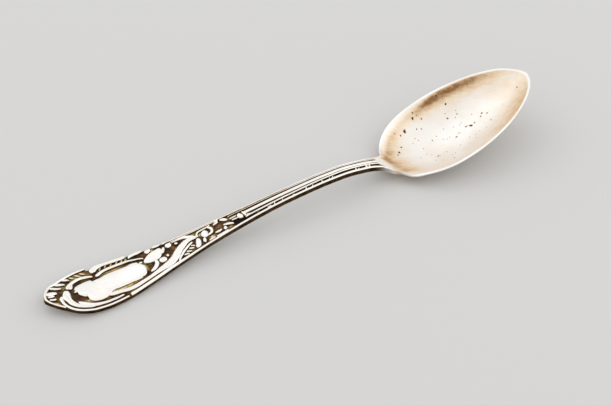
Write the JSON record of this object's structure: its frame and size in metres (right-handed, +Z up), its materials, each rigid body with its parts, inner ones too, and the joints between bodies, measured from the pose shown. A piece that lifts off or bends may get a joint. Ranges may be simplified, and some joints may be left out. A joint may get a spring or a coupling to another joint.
{
  "type": "table spoon",
  "caption": "Old silver-plated table spoon with a pointed egg-shaped bowl, an arched reeded stem and a handle with raised scroll, shell and leaf ornament.",
  "frame": {"origin": "centre of the spoon's bounding box in plan, at the height of the table it lies on", "axes": "+X along the spoon from the tip of the handle to the tip of the bowl, +Y to the high side of the ornament, +Z up out of the bowl's hollow"},
  "size_m": [0.21, 0.0396, 0.0197],
  "materials": {
    "bowl_satin": "satin",
    "stem_silver": "satin",
    "handle_silver": "satin",
    "thread_silver": "gloss",
    "ornament_silver": "gloss"
  },
  "bodies": {
    "root": {"bowl": "bowl_satin", "neck": "stem_silver", "stem": "stem_silver", "handle_blade": "handle_silver", "near_edge_thread": "thread_silver", "far_edge_thread": "thread_silver", "far_inner_thread": "thread_silver", "centre_reeds": "thread_silver", "terminal_shell": "ornament_silver", "cartouche": "ornament_silver", "near_scroll": "ornament_silver", "near_rim_scroll": "ornament_silver", "near_inner_scroll": "ornament_silver", "far_scroll": "ornament_silver", "far_inner_scroll": "ornament_silver", "c_scroll": "ornament_silver", "long_leaf": "ornament_silver", "leaf_rib": "ornament_silver", "leaf_flutes": "ornament_silver", "large_petal": "ornament_silver", "small_petals": "ornament_silver", "edge_beads": "ornament_silver", "blossom": "ornament_silver", "buds": "ornament_silver", "husk_leaves": "ornament_silver", "husk_bead": "ornament_silver"}
  },
  "joints": []
}
